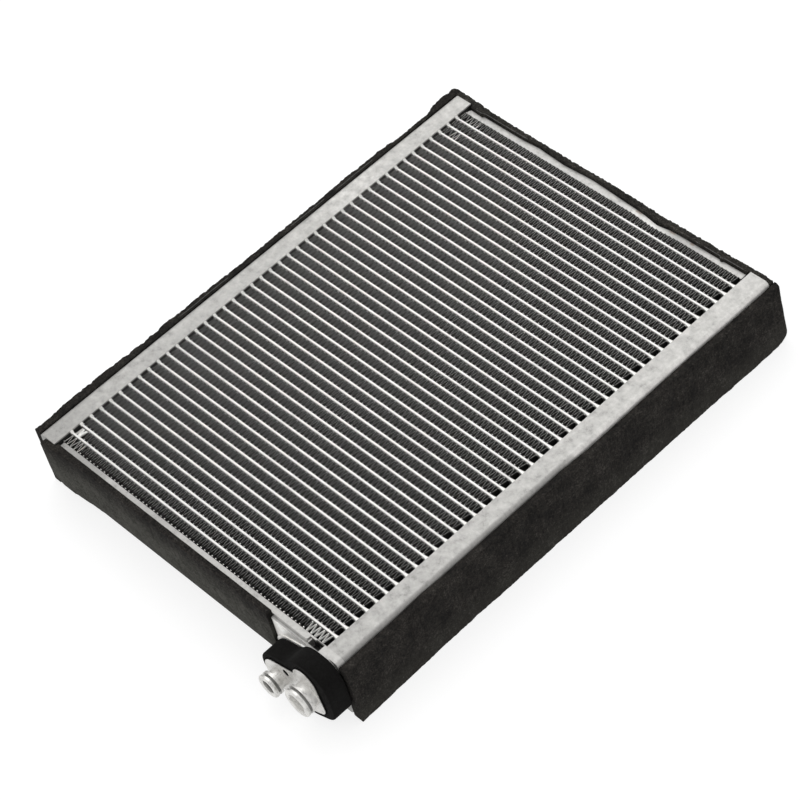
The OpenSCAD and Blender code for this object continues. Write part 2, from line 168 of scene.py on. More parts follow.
# Port block lobes: centre X and Z, and radius, in millimetres
SMALL_LOBE = (79.1, 14.8, 10.6)
WAIST_LOBE = (94.4, 21.5, 9.0)
TOP_LOBE = (101.8, 30.4, 8.0)
SIDE_LOBE = (105.8, 15.6, 6.0)
LOW_LOBE = (96.0, 12.6, 8.0)
LOBE_CENTRE = (95.0, 19.5)
LOBE_STATIONS = 48
BLEND_POWER = 4.5
GASKET_STATIONS = 160
GASKET_THICKNESS = 3.6
GASKET_BULGE = 2.8
GASKET_SHRINK = 0.3
GASKET_ROUND = 0.7 * MM
GASKET_NEIGHBOURS = 5
SUCTION_AXIS = (102.5, 22.6)
SUCTION_BORE = 5.3


def between(low, high, count):
    return [low + (high - low) * k / (count - 1) for k in range(count)]


def tube_centres():
    low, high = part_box("front_tubes")
    first, last = low.y + TUBE_THICKNESS / 2, high.y - TUBE_THICKNESS / 2
    return between(first, last, TUBE_COUNT)


def add_node(tree, kind, inputs=None, **settings):
    node = tree.nodes.new(kind)
    for key, value in settings.items():
        setattr(node, key, value)
    for key, value in (inputs or {}).items():
        if isinstance(value, bpy.types.NodeSocket):
            tree.links.new(value, node.inputs[key])
        else:
            node.inputs[key].default_value = value
    return node


def start_material(name):
    """A material with only its output, and the object's own coordinates."""
    material = bpy.data.materials.new(name)
    material.use_nodes = True
    tree = material.node_tree
    tree.nodes.clear()
    coords = add_node(tree, "ShaderNodeTexCoord").outputs["Object"]
    return material, tree, coords


def stretched(tree, coords, scale):
    return add_node(tree, "ShaderNodeMapping", {"Vector": coords, "Scale": scale}).outputs[0]


def noise_factor(tree, coords, scale, detail=3.0, roughness=0.55):
    inputs = {"Vector": coords, "Scale": scale, "Detail": detail, "Roughness": roughness}
    return add_node(tree, "ShaderNodeTexNoise", inputs).outputs["Fac"]


def weighted(tree, first, second, share):
    """first times share, plus second times the rest."""
    part = add_node(tree, "ShaderNodeMath", {0: first, 1: share}, operation="MULTIPLY")
    return add_node(
        tree,
        "ShaderNodeMath",
        {0: second, 1: 1 - share, 2: part.outputs[0]},
        operation="MULTIPLY_ADD",
    ).outputs[0]


def ramp(tree, factor, stops):
    """Colour ramp. stops are (position, grey or colour)."""
    node = add_node(tree, "ShaderNodeValToRGB", {"Fac": factor})
    elements = node.color_ramp.elements
    while len(elements) < len(stops):
        elements.new(0.5)
    for element, (position, value) in zip(elements, stops):
        colour = value if isinstance(value, tuple) else (value, value * 0.985, value * 0.95)
        element.position = position
        element.color = (*colour, 1)
    return node.outputs["Color"]


def bump(tree, height, strength, distance):
    inputs = {"Height": height, "Strength": strength, "Distance": distance}
    return add_node(tree, "ShaderNodeBump", inputs).outputs["Normal"]


def finish_material(material, tree, **inputs):
    named = {key.replace("_", " "): value for key, value in inputs.items()}
    shader = add_node(tree, "ShaderNodeBsdfPrincipled", named)
    output = add_node(tree, "ShaderNodeOutputMaterial")
    tree.links.new(shader.outputs[0], output.inputs["Surface"])
    return material


def inside(tree, coords, low, high, soft):
    """1 inside a box given in millimetres, falling to 0 over soft millimetres around it."""
    split = add_node(tree, "ShaderNodeSeparateXYZ", {0: coords})
    mask = 1.0
    for axis in range(3):
        for edge, sign in ((low[axis], 1), (high[axis], -1)):
            span = {
                "Value": split.outputs[axis],
                "From Min": (edge - sign * soft) * MM,
                "From Max": (edge + sign * soft) * MM,
            }
            step = add_node(
                tree, "ShaderNodeMapRange", span, interpolation_type="SMOOTHSTEP"
            ).outputs["Result"]
            mask = add_node(
                tree, "ShaderNodeMath", {0: mask, 1: step}, operation="MULTIPLY"
            ).outputs[0]
    return mask


def product(tree, first, second):
    return add_node(
        tree, "ShaderNodeMath", {0: first, 1: second}, operation="MULTIPLY"
    ).outputs[0]


def mixed(tree, share, first, second):
    """Colour first where share is 0, and second where it is 1."""
    node = add_node(tree, "ShaderNodeMix", data_type="RGBA")
    sockets = {"Factor": share, "A": first, "B": second}
    for socket in node.inputs:
        if socket.enabled and socket.name in sockets:
            tree.links.new(sockets[socket.name], socket)
    return next(socket for socket in node.outputs if socket.enabled)


def away(tree, coords):
    """0 at the side of the ports, and 1 at the far side."""
    place = add_node(tree, "ShaderNodeSeparateXYZ", {0: coords}).outputs["Y"]
    span = {"Value": place, "From Min": -145 * MM, "From Max": 150 * MM}
    return add_node(tree, "ShaderNodeMapRange", span).outputs["Result"]


def dustiness(tree, coords):
    """How dusty the fins are: 0 beside the ports, and 1 at the opposite corner."""
    place = add_node(tree, "ShaderNodeSeparateXYZ", {0: coords}).outputs["X"]
    span = {"Value": place, "From Min": 80 * MM, "From Max": -80 * MM}
    left = add_node(tree, "ShaderNodeMapRange", span).outputs["Result"]
    return weighted(tree, away(tree, coords), left, 0.55)


def painted_shade_side(tree, coords):
    """1 in each fin strip beside the tube on the side of the ports, and 0 farther away: where
    painted shade of the tube goes.
    """
    first, second = tube_centres()[:2]
    place = add_node(tree, "ShaderNodeSeparateXYZ", {0: coords}).outputs["Y"]
    start = add_node(tree, "ShaderNodeMath", {0: place, 1: first}, operation="SUBTRACT")
    strips = product(tree, start.outputs[0], 1 / (second - first))
    part = add_node(tree, "ShaderNodeMath", {0: strips}, operation="FRACT").outputs[0]
    span = {"Value": part, "From Min": 0.36, "From Max": 0.24}
    return add_node(tree, "ShaderNodeMapRange", span).outputs["Result"]


def scaled(stops, factor):
    return [(position, tone * factor) for position, tone in stops]


def sheet_metal(name, stops, roughness, dirt_and_painted_light):
    """Brazed aluminium sheet: soft mottling, fine grain, duller near the ports, and boxes that
    hold dirt, and others that hold painted shade and painted highlights.

    Each box is (low corner, high corner, softness, share, tone, patchy), with its
    lengths in millimetres. Its tone is a grey, which varies, or a colour.
    """
    material, tree, coords = start_material(name)
    clouds = noise_factor(tree, coords, 190, 4)
    flecks = noise_factor(tree, coords, 620, 3)
    grain = noise_factor(tree, coords, 2600, 2)
    tone = weighted(tree, flecks, clouds, 0.4)
    tone = weighted(tree, grain, tone, 0.2)
    near, far = (ramp(tree, tone, scaled(stops, factor)) for factor in (0.84, 1.08))
    colour = mixed(tree, away(tree, coords), near, far)
    # Boxes of dirt, and boxes of painted shade and painted highlights, over the sheet's colour
    for low, high, soft, share, dirt_and_light_tone, patchy in dirt_and_painted_light:
        mask = product(tree, inside(tree, coords, low, high, soft), share)
        if patchy:
            mask = product(tree, mask, ramp(tree, clouds, ((0.40, 0.5), (0.56, 1.0))))
        dark, light = dirt_and_light_tone, dirt_and_light_tone
        if not isinstance(dirt_and_light_tone, tuple):
            dark, light = dirt_and_light_tone * 0.7, dirt_and_light_tone * 1.3
        colour = mixed(tree, mask, colour, ramp(tree, tone, ((0.3, dark), (0.7, light))))
    return finish_material(
        material,
        tree,
        Base_Color=colour,
        Metallic=0.7,
        Roughness=roughness,
        Normal=bump(tree, tone, 0.3, 0.2 * MM),
    )


def tank_metal():
    stops = ((0.37, 0.32), (0.45, 0.42), (0.54, 0.48), (0.64, 0.55))
    # Right tank's outer edge, port half: darkened in patches, which are smudges together with
    # painted shade of its rounded edge
    smudged_shaded_edge = ((113, -160, 30), (122, 12, 44), 1.5, 0.7, 0.15, True)
    # Painted highlight: the same rounded edge on the far half is painted pale
    painted_highlight_edge = ((112.5, 18, 30), (122, 170, 44), 1.5, 1.0, 0.66, False)
    dull_end = ((-122, -160, 30), (-100, -118, 44), 12, 0.4, 0.16, True)
    # Painted shade: the left tube plate's face below the tube tops is painted near black, as the
    # shade in the pockets beside the fins
    left_root_shade = ((-104, -200, 10), (-101, 200, 40.3), 0.15, 0.97, 0.04, False)
    pale_patch = ((-122, 55, 30), (-100, 92, 44), 12, 0.4, 0.75, True)
    dirt_and_painted_light = (smudged_shaded_edge, painted_highlight_edge, dull_end, left_root_shade, pale_patch)
    return sheet_metal("tank_metal", stops, 0.55, dirt_and_painted_light)


def plate_metal():
    stops = ((0.38, 0.34), (0.48, 0.47), (0.64, 0.55))
    # Painted shade: the notch in the passage pan, and the lip beside it, are painted near black
    # as the shade deep inside the notch
    notch_shade = ((91.5, -140.6, 30), (95.5, -136.1, 37.2), 0.6, 0.97, 0.02, False)
    notch_lip_shade = ((93.8, -140.6, 36), (101.2, -136.5, 39.5), 0.2, 0.97, 0.02, False)
    far_end = ((99.9, 140, 30), (105, 170, 42), 0.3, 0.97, 0.02, False)
    near_end = ((-105, -143, 30), (-66, -133, 42), 5, 0.5, 0.16, True)
    near_middle = ((-46, -143, 30), (-12, -133, 42), 7, 0.4, 0.25, True)
    port_end = ((62, -142.2, 37), (101, -139.8, 38.2), 0.3, 0.5, 0.14, False)
    # Painted light: the cover's outer face towards the ports is painted near white, lifting it
    # out of its shade
    cover_face_light = ((62, -142.6, 1), (101, -141.1, 37.5), 0.2, 1.0, 0.95, False)
    far_stain = ((50, 130, 30), (72, 170, 42), 6, 0.42, 0.22, True)
    far_shine = ((20, 130, 30), (44, 170, 42), 6, 0.4, 0.85, False)
    rust = (0.22, 0.15, 0.105)
    spots = ((24, 28), (48, 52), (62.5, 65))
    rusty = [((low, 155.7, 36), (high, 160, 42), 0.6, 0.6, rust, False) for low, high in spots]
    dirt_and_painted_light = (notch_shade, notch_lip_shade, far_end, near_end, near_middle, port_end, cover_face_light, far_stain)
    dirt_and_painted_light += (far_shine, *rusty)
    return sheet_metal("plate_metal", stops, 0.48, dirt_and_painted_light)


def tube_metal():
    """Extruded aluminium, pale and satin, streaked, with painted shade on the faces turned
    towards the ports.
    """
    material, tree, coords = start_material("tube_metal")
    streaks = noise_factor(tree, stretched(tree, coords, (0.15, 1, 1)), 520, 3)
    patches = noise_factor(tree, coords, 150, 3)
    tone = weighted(tree, streaks, patches, 0.5)
    stops = ((0.30, 0.60), (0.44, 0.80), (0.70, 0.90))
    # Painted shade: faces whose normal points towards the ports are darkened
    normal = add_node(tree, "ShaderNodeNewGeometry").outputs["Normal"]
    facing = add_node(tree, "ShaderNodeSeparateXYZ", {0: normal}).outputs["Y"]
    span = {"Value": facing, "From Min": -0.35, "From Max": -0.95}
    share = add_node(tree, "ShaderNodeMapRange", span).outputs["Result"]
    port_side_shade = ramp(tree, tone, ((0.3, 0.06), (0.7, 0.16)))
    return finish_material(
        material,
        tree,
        Base_Color=mixed(tree, share, ramp(tree, tone, stops), port_side_shade),
        Metallic=0.5,
        Roughness=0.38,
        Normal=bump(tree, streaks, 0.2, 0.1 * MM),
    )


def fin_metal():
    """Coated fin sheet: dusty near its upper edge, darkened below it as painted shade deep
    between the folds and beside the tubes, with faint louvre bands.
    """
    material, tree, coords = start_material("fin_metal")
    louvres = add_node(
        tree,
        "ShaderNodeTexWave",
        {"Vector": coords, "Scale": 320.0, "Distortion": 0.6, "Detail": 1.0},
        bands_direction="Z",
    ).outputs["Fac"]
    patches = noise_factor(tree, coords, 90, 3)
    tone = weighted(tree, louvres, patches, 0.3)
    # Painted shade: below its upper edge the sheet is near black, as the shade between the folds
    height = add_node(tree, "ShaderNodeSeparateXYZ", {0: coords}).outputs["Z"]
    span = {"Value": height, "From Min": 38.0 * MM, "From Max": 39.8 * MM}
    share = add_node(tree, "ShaderNodeMapRange", span).outputs["Result"]
    share = ramp(tree, share, ((0.0, 0.0), (0.5, 0.06), (0.7, 0.4), (0.9, 1.0)))
    dark = ramp(tree, tone, ((0.2, 0.003), (0.8, 0.010)))
    added_tones = ramp(tree, tone, ((0.2, 0.025), (0.5, 0.045), (0.8, 0.08)))
    dustier = ramp(tree, tone, ((0.2, 0.05), (0.5, 0.09), (0.8, 0.15)))
    added_tones = mixed(tree, dustiness(tree, coords), added_tones, dustier)
    # Painted shade beside each tube, on the ports' side of the strip
    added_tones = mixed(tree, product(tree, painted_shade_side(tree, coords), 0.9), added_tones, dark)
    return finish_material(
        material,
        tree,
        Base_Color=mixed(tree, share, dark, added_tones),
        Metallic=0.2,
        Roughness=0.5,
        Specular_IOR_Level=0.3,
        Normal=bump(tree, louvres, 0.4, 0.15 * MM),
    )


def bare_metal(name, dull, bright, farther=1.0, shade_share=0.0):
    """Fin sheet where its coating is cut or rubbed off.

    farther scales the tone of the dusty corner, and the last argument is the share of painted
    shade beside the tubes.
    """
    material, tree, coords = start_material(name)
    tone = noise_factor(tree, coords, 900, 2)
    stops = ((0.35, dull), (0.65, bright))
    near, far = (ramp(tree, tone, scaled(stops, factor)) for factor in (1.0, farther))
    colour = mixed(tree, dustiness(tree, coords), near, far)
    # Painted shade beside the tubes, on their ports' side
    shade_tone = ramp(tree, tone, ((0.3, 0.01), (0.7, 0.02)))
    colour = mixed(tree, product(tree, painted_shade_side(tree, coords), shade_share), colour, shade_tone)
    return finish_material(material, tree, Base_Color=colour, Metallic=0.5, Roughness=0.35)


def machined_metal():
    """Milled and turned aluminium with tool marks, dark beside the gasket, with painted shade in
    the O-ring groove and painted light in the bore.
    """
    material, tree, coords = start_material("machined_metal")
    flat = stretched(tree, coords, (1, 0, 1))
    axis = (SUCTION_AXIS[0] * MM, 0, SUCTION_AXIS[1] * MM)
    reach = add_node(
        tree, "ShaderNodeVectorMath", {0: flat, 1: axis}, operation="DISTANCE"
    ).outputs["Value"]
    turns = add_node(tree, "ShaderNodeMath", {0: product(tree, reach, 6500)}, operation="SINE")
    turns = add_node(tree, "ShaderNodeMapRange", {"Value": turns.outputs[0], "From Min": -1.0})
    marks = noise_factor(tree, stretched(tree, coords, (1, 4, 1)), 700, 3)
    patches = noise_factor(tree, coords, 330, 3)
    tone = weighted(tree, marks, patches, 0.4)
    tone = weighted(tree, turns.outputs["Result"], tone, 0.1)
    colour = ramp(tree, tone, ((0.34, 0.45), (0.48, 0.70), (0.66, 0.82)))
    beside = inside(tree, coords, (60, -154.1, -5), (130, -100, 45), 0.15)
    colour = mixed(tree, beside, colour, ramp(tree, tone, ((0.3, 0.01), (0.7, 0.02))))
    # Painted shade in the O-ring groove
    groove_shade = product(tree, inside(tree, coords, (60, -160.9, -5), (130, -159.5, 45), 0.1), 0.8)
    colour = mixed(tree, groove_shade, colour, ramp(tree, tone, ((0.3, 0.04), (0.7, 0.12))))
    # Painted light: the bore is pale and not metallic, which lifts it out of its shade
    bore_light = add_node(
        tree, "ShaderNodeMath", {0: reach, 1: (SUCTION_BORE + 0.1) * MM}, operation="LESS_THAN"
    ).outputs[0]
    colour = mixed(tree, bore_light, colour, ramp(tree, patches, ((0.4, 0.80), (0.6, 0.92))))
    metallic = add_node(
        tree, "ShaderNodeMath", {0: bore_light, 1: -0.6, 2: 0.6}, operation="MULTIPLY_ADD"
    )
    return finish_material(
        material,
        tree,
        Base_Color=colour,
        Metallic=metallic.outputs[0],
        Roughness=0.36,
        Normal=bump(tree, tone, 0.25, 0.1 * MM),
    )


def foam_skin(name, tones, added_tones=None, height_shares=None):
    """Closed-cell foam: fine pores, blotches and pale specks, with other tones mixed in by
    height, such as dust with painted light.
    """
    material, tree, coords = start_material(name)
    pores = noise_factor(tree, coords, 1150, 3, 0.7)
    cells = noise_factor(tree, coords, 480, 3, 0.6)
    blotches = noise_factor(tree, coords, 90, 3)
    relief = weighted(tree, pores, cells, 0.65)
    tone = weighted(tree, relief, blotches, 0.75)
    colour = ramp(tree, tone, tones)
    # Tones mixed in by height: dust with painted light and shade on the near strip, and a paler
    # foot on the header strips
    if added_tones:
        height = add_node(tree, "ShaderNodeSeparateXYZ", {0: coords}).outputs["Z"]
        span = {"Value": height, "From Max": 42 * MM}
        share = add_node(tree, "ShaderNodeMapRange", span).outputs["Result"]
        share = ramp(tree, share, height_shares)
        colour = mixed(tree, share, colour, ramp(tree, tone, added_tones))
    return finish_material(
        material,
        tree,
        Base_Color=colour,
        Roughness=0.9,
        Specular_IOR_Level=0.08,
        Normal=bump(tree, relief, 0.9, 0.35 * MM),
    )


BLACK = (0.0040, 0.0037, 0.0034)
SOOT = (0.0085, 0.0082, 0.008)
DUSK = (0.027, 0.0245, 0.022)
MOULD = (0.034, 0.032, 0.028)
MURK = (0.040, 0.039, 0.034)
DUST_AND_LIGHT = (0.080, 0.079, 0.070)
SPECK = (0.11, 0.102, 0.093)
FOAM_TONES = ((0.42, SOOT), (0.55, DUSK), (0.76, SPECK))
DUST_AND_LIGHT_TONES = ((0.42, MURK), (0.54, DUST_AND_LIGHT), (0.70, SPECK))
FOOT_TONES = ((0.43, DUSK), (0.55, MURK), (0.68, SPECK))

MATERIALS = {
    "tank": tank_metal(),
    "plate": plate_metal(),
    "tube": tube_metal(),
    "fin": fin_metal(),
    "cut_edge": bare_metal("cut_edge", 0.14, 0.27, 2.8, 0.9),
    "crest": bare_metal("crest", 0.50, 0.85),
    "bare_fin": bare_metal("bare_fin", 0.75, 0.95),
    "block": machined_metal(),
    # Header strips: paler towards their foot
    "foam": foam_skin("foam", FOAM_TONES, FOOT_TONES, ((0.1, 1.0), (0.4, 0.0))),
    # Near strip: dust with painted light below its top, and a darker top band left as painted
    # shade under the flange
    "dust_and_light_foam": foam_skin(
        "dust_and_light_foam", FOAM_TONES, DUST_AND_LIGHT_TONES, ((0.0, 1.0), (0.6, 0.9), (0.85, 0.2), (0.95, 0.0))
    ),
    "rough_foam": foam_skin("rough_foam", ((0.41, SOOT), (0.54, MOULD), (0.68, SPECK))),
    "gasket": foam_skin("gasket_foam", ((0.36, BLACK), (0.60, SOOT), (0.72, DUSK))),
    "film": bare_metal("film", 0.03, 0.10),
}


def make_piece(name, vertices, faces, materials, replaced, face_materials=None):
    """A mesh piece on the root body that stands for the CAD nodes in replaced."""
    mesh = bpy.data.meshes.new(name)
    mesh.from_pydata(vertices, [], faces)
    for key in materials:
        mesh.materials.append(MATERIALS[key])
    if face_materials:
        mesh.polygons.foreach_set("material_index", face_materials)
    mesh.update()
    piece = bpy.data.objects.new(name, mesh)
    bpy.context.scene.collection.objects.link(piece)
    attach(piece, "root")
    if replaced:
        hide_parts(*replaced)
    return piece


def smooth(piece, degrees):
    """Keeps an edge sharp only where the faces beside it turn by more than this."""
    piece.data.set_sharp_from_angle(angle=math.radians(degrees))


def loft(rings, closed_ends=True):
    """Vertices and faces of a tube through rings of equal length."""
    size = len(rings[0])
    vertices = [point for ring in rings for point in ring]
    faces = []
    for k in range(len(rings) - 1):
        for i in range(size):
            j = (i + 1) % size
            low, high = k * size, (k + 1) * size
            faces.append((low + i, low + j, high + j, high + i))
    if closed_ends:
        faces.append(tuple(reversed(range(size))))
        faces.append(tuple(range((len(rings) - 1) * size, len(rings) * size)))
    return vertices, faces


def wobble(x, y, z, scale, seed=0.0):
    """Smooth noise from -1 to 1 at a point, for a grain of about scale metres."""
    return noise.noise(Vector((x / scale + seed, y / scale, z / scale)))


def piecewise(points, at):
    """Value at a place, on straight lines through (place, value) points."""
    for (a, value_a), (b, value_b) in zip(points, points[1:]):
        if at <= b:
            return value_a + (value_b - value_a) * max((at - a) / (b - a), 0)
    return points[-1][1]


def tube_ring(x, y, low_z, high_z):
    """Cross-section of a flat tube with round noses, in the plane at x."""
    r = TUBE_THICKNESS / 2
    ring = []
    for centre_z, start in ((high_z - r, 0.0), (low_z + r, math.pi)):
        for k in range(NOSE_POINTS):
            angle = start + math.pi * k / (NOSE_POINTS - 1)
            ring.append((x, y + r * math.cos(angle), centre_z + r * math.sin(angle)))
    return ring


def tubes(node):
    """One row of flat tubes, each very slightly wavy."""
    low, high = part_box(node)
    vertices, faces = [], []
    for y in tube_centres():
        rings = []
        for x in between(low.x, high.x, TUBE_STATIONS):
            drift = TUBE_DRIFT * wobble(x, y, low.z, 25 * MM)
            lift = TUBE_LIFT * wobble(x, y, high.z, 18 * MM, 7.0)
            rings.append(tube_ring(x, y + drift, low.z + TUBE_LIFT, high.z - TUBE_LIFT + lift))
        points, quads = loft(rings)
        faces += [tuple(i + len(vertices) for i in quad) for quad in quads]
        vertices += points
    piece = make_piece(node + "_round", vertices, faces, ["tube"], [node])
    smooth(piece, 40)


def strip_sides(strip):
    """Low and high Y of a fin strip, between the two things that it lies between."""
    centres = tube_centres()
    half = TUBE_THICKNESS / 2
    low = centres[strip - 1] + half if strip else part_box("fins_near")[0].y
    high = centres[strip] - half if strip < TUBE_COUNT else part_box("fins_far")[1].y
    return low, high


def bent_lean(strip, x):
    """How far the top of the sheet leans along X in a strip at x, or 0 where it stands."""
    for number, start, end, lean in BENT:
        if strip == number and start * MM < x < end * MM:
            return lean * MM
    return 0.0


def fin_path(strip, start, end, draw):
    """Centre line of one corrugated strip, as points X, Y, lean and braze in the fold.

    The braze is the depth to which it fills a fold, above 0 in near folds and below in far ones.
    """
    low_y, high_y = strip_sides(strip)
    low_y, high_y = low_y + FIN_SHEET / 2, high_y - FIN_SHEET / 2
    start -= draw.uniform(0.3, 0.6) * MM
    end += draw.uniform(-0.7, 0.6) * MM
    count = 2 * round((end - start) / FIN_PITCH / 2) + 1
    step = (end - start) / count
    path = []
    for fold in range(count + 1):
        loose = strip == TUBE_COUNT and LOOSE_FROM < start + fold * step < LOOSE_TO
        slack = LOOSE_SLACK if loose else SLACK
        x = start + max(0, fold - 0.4) * step + draw.uniform(-slack, slack) * MM
        side = 1 if fold % 2 else -1
        lean = bent_lean(strip, x) * draw.uniform(0.6, 1.3)
        r = BENT_RADIUS if lean else FOLD_RADIUS
        if lean:
            x += draw.uniform(-0.25, 0.25) * MM
        crest = high_y if side > 0 else low_y
        if strip == TUBE_COUNT and side > 0:
            crest -= piecewise(DENT, x / MM) * MM
        for k in range(FOLD_POINTS):
            angle = math.pi * (1 - k / (FOLD_POINTS - 1))
            point = (x + r * math.cos(angle), crest - side * r * (1 - math.sin(angle)))
            braze = -side * BRAZE_FILL * r if 0 < k < FOLD_POINTS - 1 else 0.0
            path.append((*point, lean, braze))
    return path


def sheet_normals(path):
    normals = []
    for k in range(len(path)):
        a, b = path[max(k - 1, 0)], path[min(k + 1, len(path) - 1)]
        along = Vector((b[0] - a[0], b[1] - a[1])).normalized()
        normals.append((-along.y, along.x))
    return normals


def fins(node, group):
    """A group of corrugated strips at their real pitch, with the bent folds of the photograph."""
    draw = random.Random(group)
    low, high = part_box(node)
    kinds = ["fin", "cut_edge", "bare_fin", "crest"]
    vertices, faces, face_materials = [], [], []
    half = FIN_SHEET / 2
    for number in range(group * STRIPS_PER_GROUP, (group + 1) * STRIPS_PER_GROUP):
        path = fin_path(number, low.x, high.x, draw)
        first = len(vertices)
        for (x, y, lean, braze), (nx, ny) in zip(path, sheet_normals(path)):
            top = high.z + CREST_LIFT * wobble(x, y, 0, 6 * MM, number)
            for side in (half + max(braze, 0), min(braze, 0) - half):
                edge_x, edge_y = x + nx * side, y + ny * side
                vertices.append((edge_x, edge_y, low.z))
                vertices.append((edge_x, edge_y, top - BENT_DEPTH))
                vertices.append((edge_x + lean, edge_y, top - abs(lean) * 0.4))
        for k in range(len(path) - 1):
            a, b = first + 6 * k, first + 6 * (k + 1)
            filled = path[k][3] + path[k + 1][3] > 0
            upper, edge = "fin", "crest" if filled else "cut_edge"
            if path[k][2]:
                upper, edge = "bare_fin", "bare_fin"
            faces += [(a, b, b + 1, a + 1), (a + 4, b + 4, b + 3, a + 3)]
            faces += [(a + 1, b + 1, b + 2, a + 2), (a + 5, b + 5, b + 4, a + 4)]
            faces += [(a + 2, b + 2, b + 5, a + 5), (a + 3, b + 3, b, a)]
            order = ("fin", "fin", upper, upper, edge, "fin")
            face_materials += [kinds.index(kind) for kind in order]
    piece = make_piece(node + "_folded", vertices, faces, kinds, [node], face_materials)
    smooth(piece, 50)


def fillets():
    """Braze fillets where the tubes enter the tube plates, longer on the port side."""
    vertices, faces = [], []
    left_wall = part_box("left_tube_plate")[1].x
    right_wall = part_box("right_tube_plate")[0].x
    ends = ((right_wall, -1, LONG_FILLET), (left_wall, 1, SHORT_FILLET))
    for node in ("front_tubes", "rear_tubes"):
        low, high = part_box(node)
        for wall, side, steps in ends:
            rises = side > 0 and node == "front_tubes"
            for y in tube_centres():
                rings = []
                for reach, width in steps:
                    scale = 1 + width * MM / (TUBE_THICKNESS / 2)
                    rise = max(0, FILLET_RISE - reach) * MM if rises else 0
                    ring = []
                    for x, ring_y, z in tube_ring(wall + side * reach * MM, y, low.z, high.z):
                        lift = rise if z > high.z - 1 * MM else 0
                        ring.append((x, y + (ring_y - y) * scale, z + lift))
                    rings.append(ring)
                points, quads = loft(rings)
                faces += [tuple(i + len(vertices) for i in quad) for quad in quads]
                vertices += points
    piece = make_piece("braze_fillets", vertices, faces, ["tube"], [])
    smooth(piece, 60)


def seam():
    """Braze beside the near side plate's flange, along the top of the passage pan."""
    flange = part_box("near_side_plate")[0].y
    root = flange + 0.3 * MM
    rings = []
    for x in between(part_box("passage_cover")[0].x + 0.4 * MM, SEAM_END, SEAM_STATIONS):
        wide = (1.0 + 0.25 * wobble(x, 0, 0, 4 * MM)) * MM
        rings.append(
            [
                (x, root, SEAM_TOP),
                (x, root, SEAM_LOW),
                (x, flange - wide, SEAM_LOW),
                (x, flange - 0.45 * wide, SEAM_LOW + 0.35 * (SEAM_TOP - SEAM_LOW)),
            ]
        )
    vertices, faces = loft(rings)
    piece = make_piece("passage_seam", vertices, faces, ["plate"], [])
    smooth(piece, 70)


def rounded_box_ring(low_u, high_u, low_v, high_v, r, per_side=6):
    """Points (u, v) round a rectangle with small round corners."""
    corners = (
        (high_u - r, high_v - r, 0),
        (low_u + r, high_v - r, 90),
        (low_u + r, low_v + r, 180),
        (high_u - r, low_v + r, 270),
    )
    points = []
    for index, (cu, cv, start) in enumerate(corners):
        arc = []
        for k in range(3):
            angle = math.radians(start + 45 * k)
            arc.append((cu + r * math.cos(angle), cv + r * math.sin(angle)))
        points += arc
        nu, nv, nstart = corners[(index + 1) % 4]
        angle = math.radians(nstart)
        goal = (nu + r * math.cos(angle), nv + r * math.sin(angle))
        for k in range(1, per_side):
            t = k / per_side
            points.append(tuple(a + (b - a) * t for a, b in zip(arc[-1], goal)))
    return points


def round_off(left, r):
    """How far a round corner of radius r stays back, at a distance from the end."""
    return r - math.sqrt(r * r - (r - left) ** 2) if left < r else 0.0


def foam_piece(node, rings, material):
    vertices, faces = loft(rings)
    piece = make_piece(node + "_cut", vertices, faces, [material], [node])
    smooth(piece, 50)


def header_foam(node, side, cuts, tops, foot):
    """Foam strip on the outer side of a header tank, with a hand-cut outer edge and top."""
    low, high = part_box(node)
    inner, outer = (low.x, high.x) if side > 0 else (high.x, low.x)
    rings = []
    for y in between(low.y, high.y, HEADER_FOAM_STATIONS):
        place = (y - MIDDLE_Y) / MM
        left = high.y - y
        back = (piecewise(cuts, place) + 0.7 * wobble(0, y, 0, 5 * MM, side)) * MM
        back += 0.6 * MM * wobble(0, y, 0, 1.7 * MM, side + 5)
        back = max(back, 0, round_off(left, FOAM_ROUND))
        width = abs(outer - inner) - back
        spread = (piecewise(foot, place) + 0.2 * wobble(0, y, 3, 9 * MM, side)) * MM
        bottom = low.z + round_off(left, FOAM_CORNER)
        top = high.z - (piecewise(tops, place) + 0.15 + 0.15 * wobble(0, y, 1, 4 * MM, side)) * MM
        ring = []
        for u, v in rounded_box_ring(0, width, bottom, top, FOAM_EDGE_ROUND):
            share = u / width
            swell = 0.2 * MM * wobble(u, y, v, 7 * MM, side) * share
            reach = u + share * (spread + back * 0.7) * max(0, 1 - v / FOOT_HEIGHT) + swell
            ring.append((inner + side * reach, y, v))
        rings.append(ring if side < 0 else list(reversed(ring)))
    foam_piece(node, rings, "foam")


def edge_foam(node, side, section, material):
    """Foam strip along a side plate. section gives (inner, outer, outer_low, bottom, top)."""
    low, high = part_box(node)
    rings = []
    for x in between(low.x, high.x, EDGE_FOAM_STATIONS):
        inner, outer, outer_low, bottom, top = section(x, low, high)
        ring = []
        for u, v in rounded_box_ring(0, 1, bottom, top, FOAM_EDGE_ROUND):
            reach = outer + (outer_low - outer) * max(0, 1 - (v - bottom) / SLOPE_HEIGHT)
            ring.append((x, inner + (reach - inner) * u, v))
        rings.append(ring if side < 0 else list(reversed(ring)))
    foam_piece(node, rings, material)


